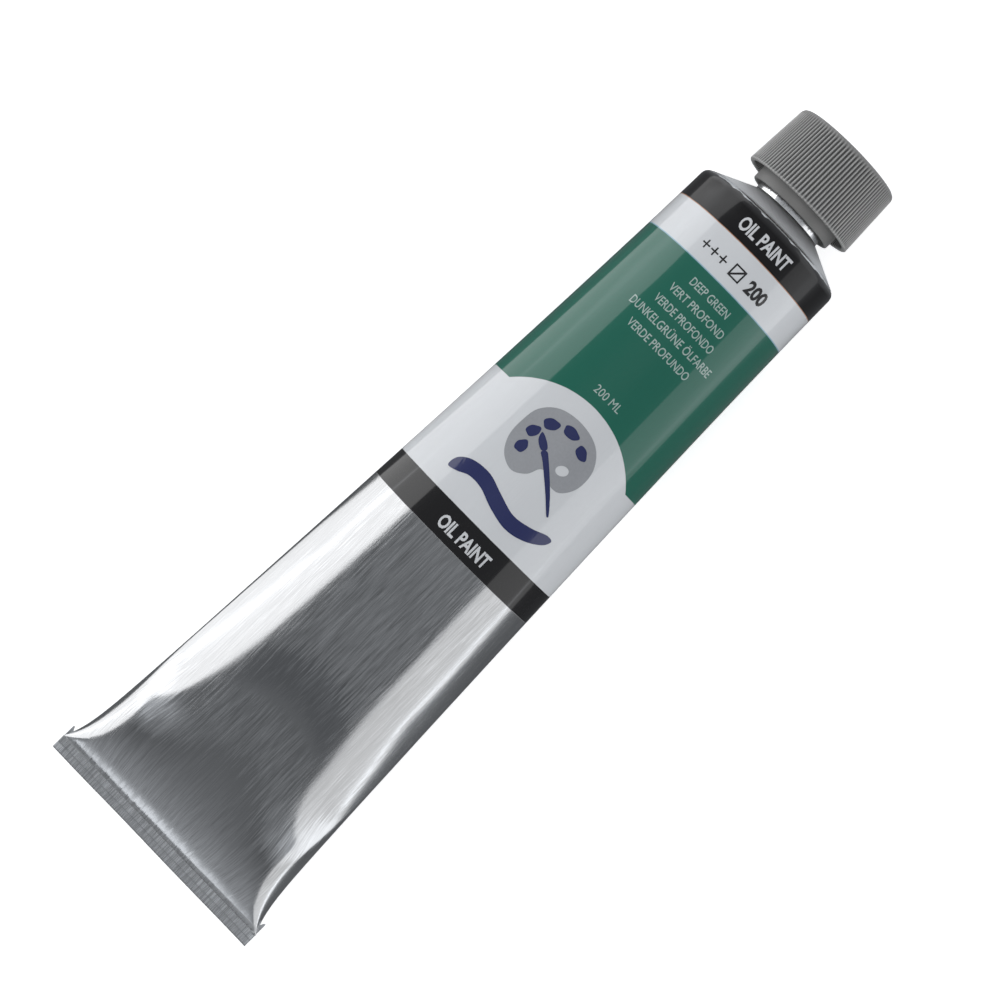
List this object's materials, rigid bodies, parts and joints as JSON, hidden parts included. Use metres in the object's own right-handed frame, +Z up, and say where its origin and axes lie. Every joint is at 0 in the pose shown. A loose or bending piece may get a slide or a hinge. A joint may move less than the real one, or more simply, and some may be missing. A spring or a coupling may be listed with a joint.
{
  "type": "paint tube",
  "caption": "Large collapsible metal paint tube with a folded tail, a threaded neck and a ribbed screw cap with a longer inner skirt.",
  "frame": {"origin": "on the surface the tube lies on, under the middle of its length and width", "axes": "+X along the tube towards the cap, +Z up, out of the printed front, +Y across"},
  "size_m": [0.2178, 0.0616, 0.04],
  "materials": {
    "tube_aluminium": "satin, with a printed enamel band on the upper half",
    "seal_compound": "matte",
    "green_paint": "wet paste, stood in by gloss plastic",
    "cap_plastic": "moulded, matte",
    "liner_foam": "matte"
  },
  "bodies": {
    "tube": {"tube_body": "tube_aluminium", "tail_sealant": "seal_compound", "paint_fill": "green_paint"},
    "cap_travel": {"cap_liner": "liner_foam"},
    "screw_cap": {"cap": "cap_plastic"}
  },
  "joints": [
    {"name": "cap_lift", "type": "slide", "parent": "tube", "child": "cap_travel", "axis": [1, 0, 0], "range_m": [0, 0.018]},
    {"name": "cap_turn", "type": "hinge", "parent": "cap_travel", "child": "screw_cap", "pos_m": [0.1, 0, 0.02], "axis": [1, 0, 0], "range_deg": [0, 2160]}
  ],
  "couplings": [
    {"joint": "cap_lift", "follows": "cap_turn", "m_per_rad": 0.00047746}
  ]
}
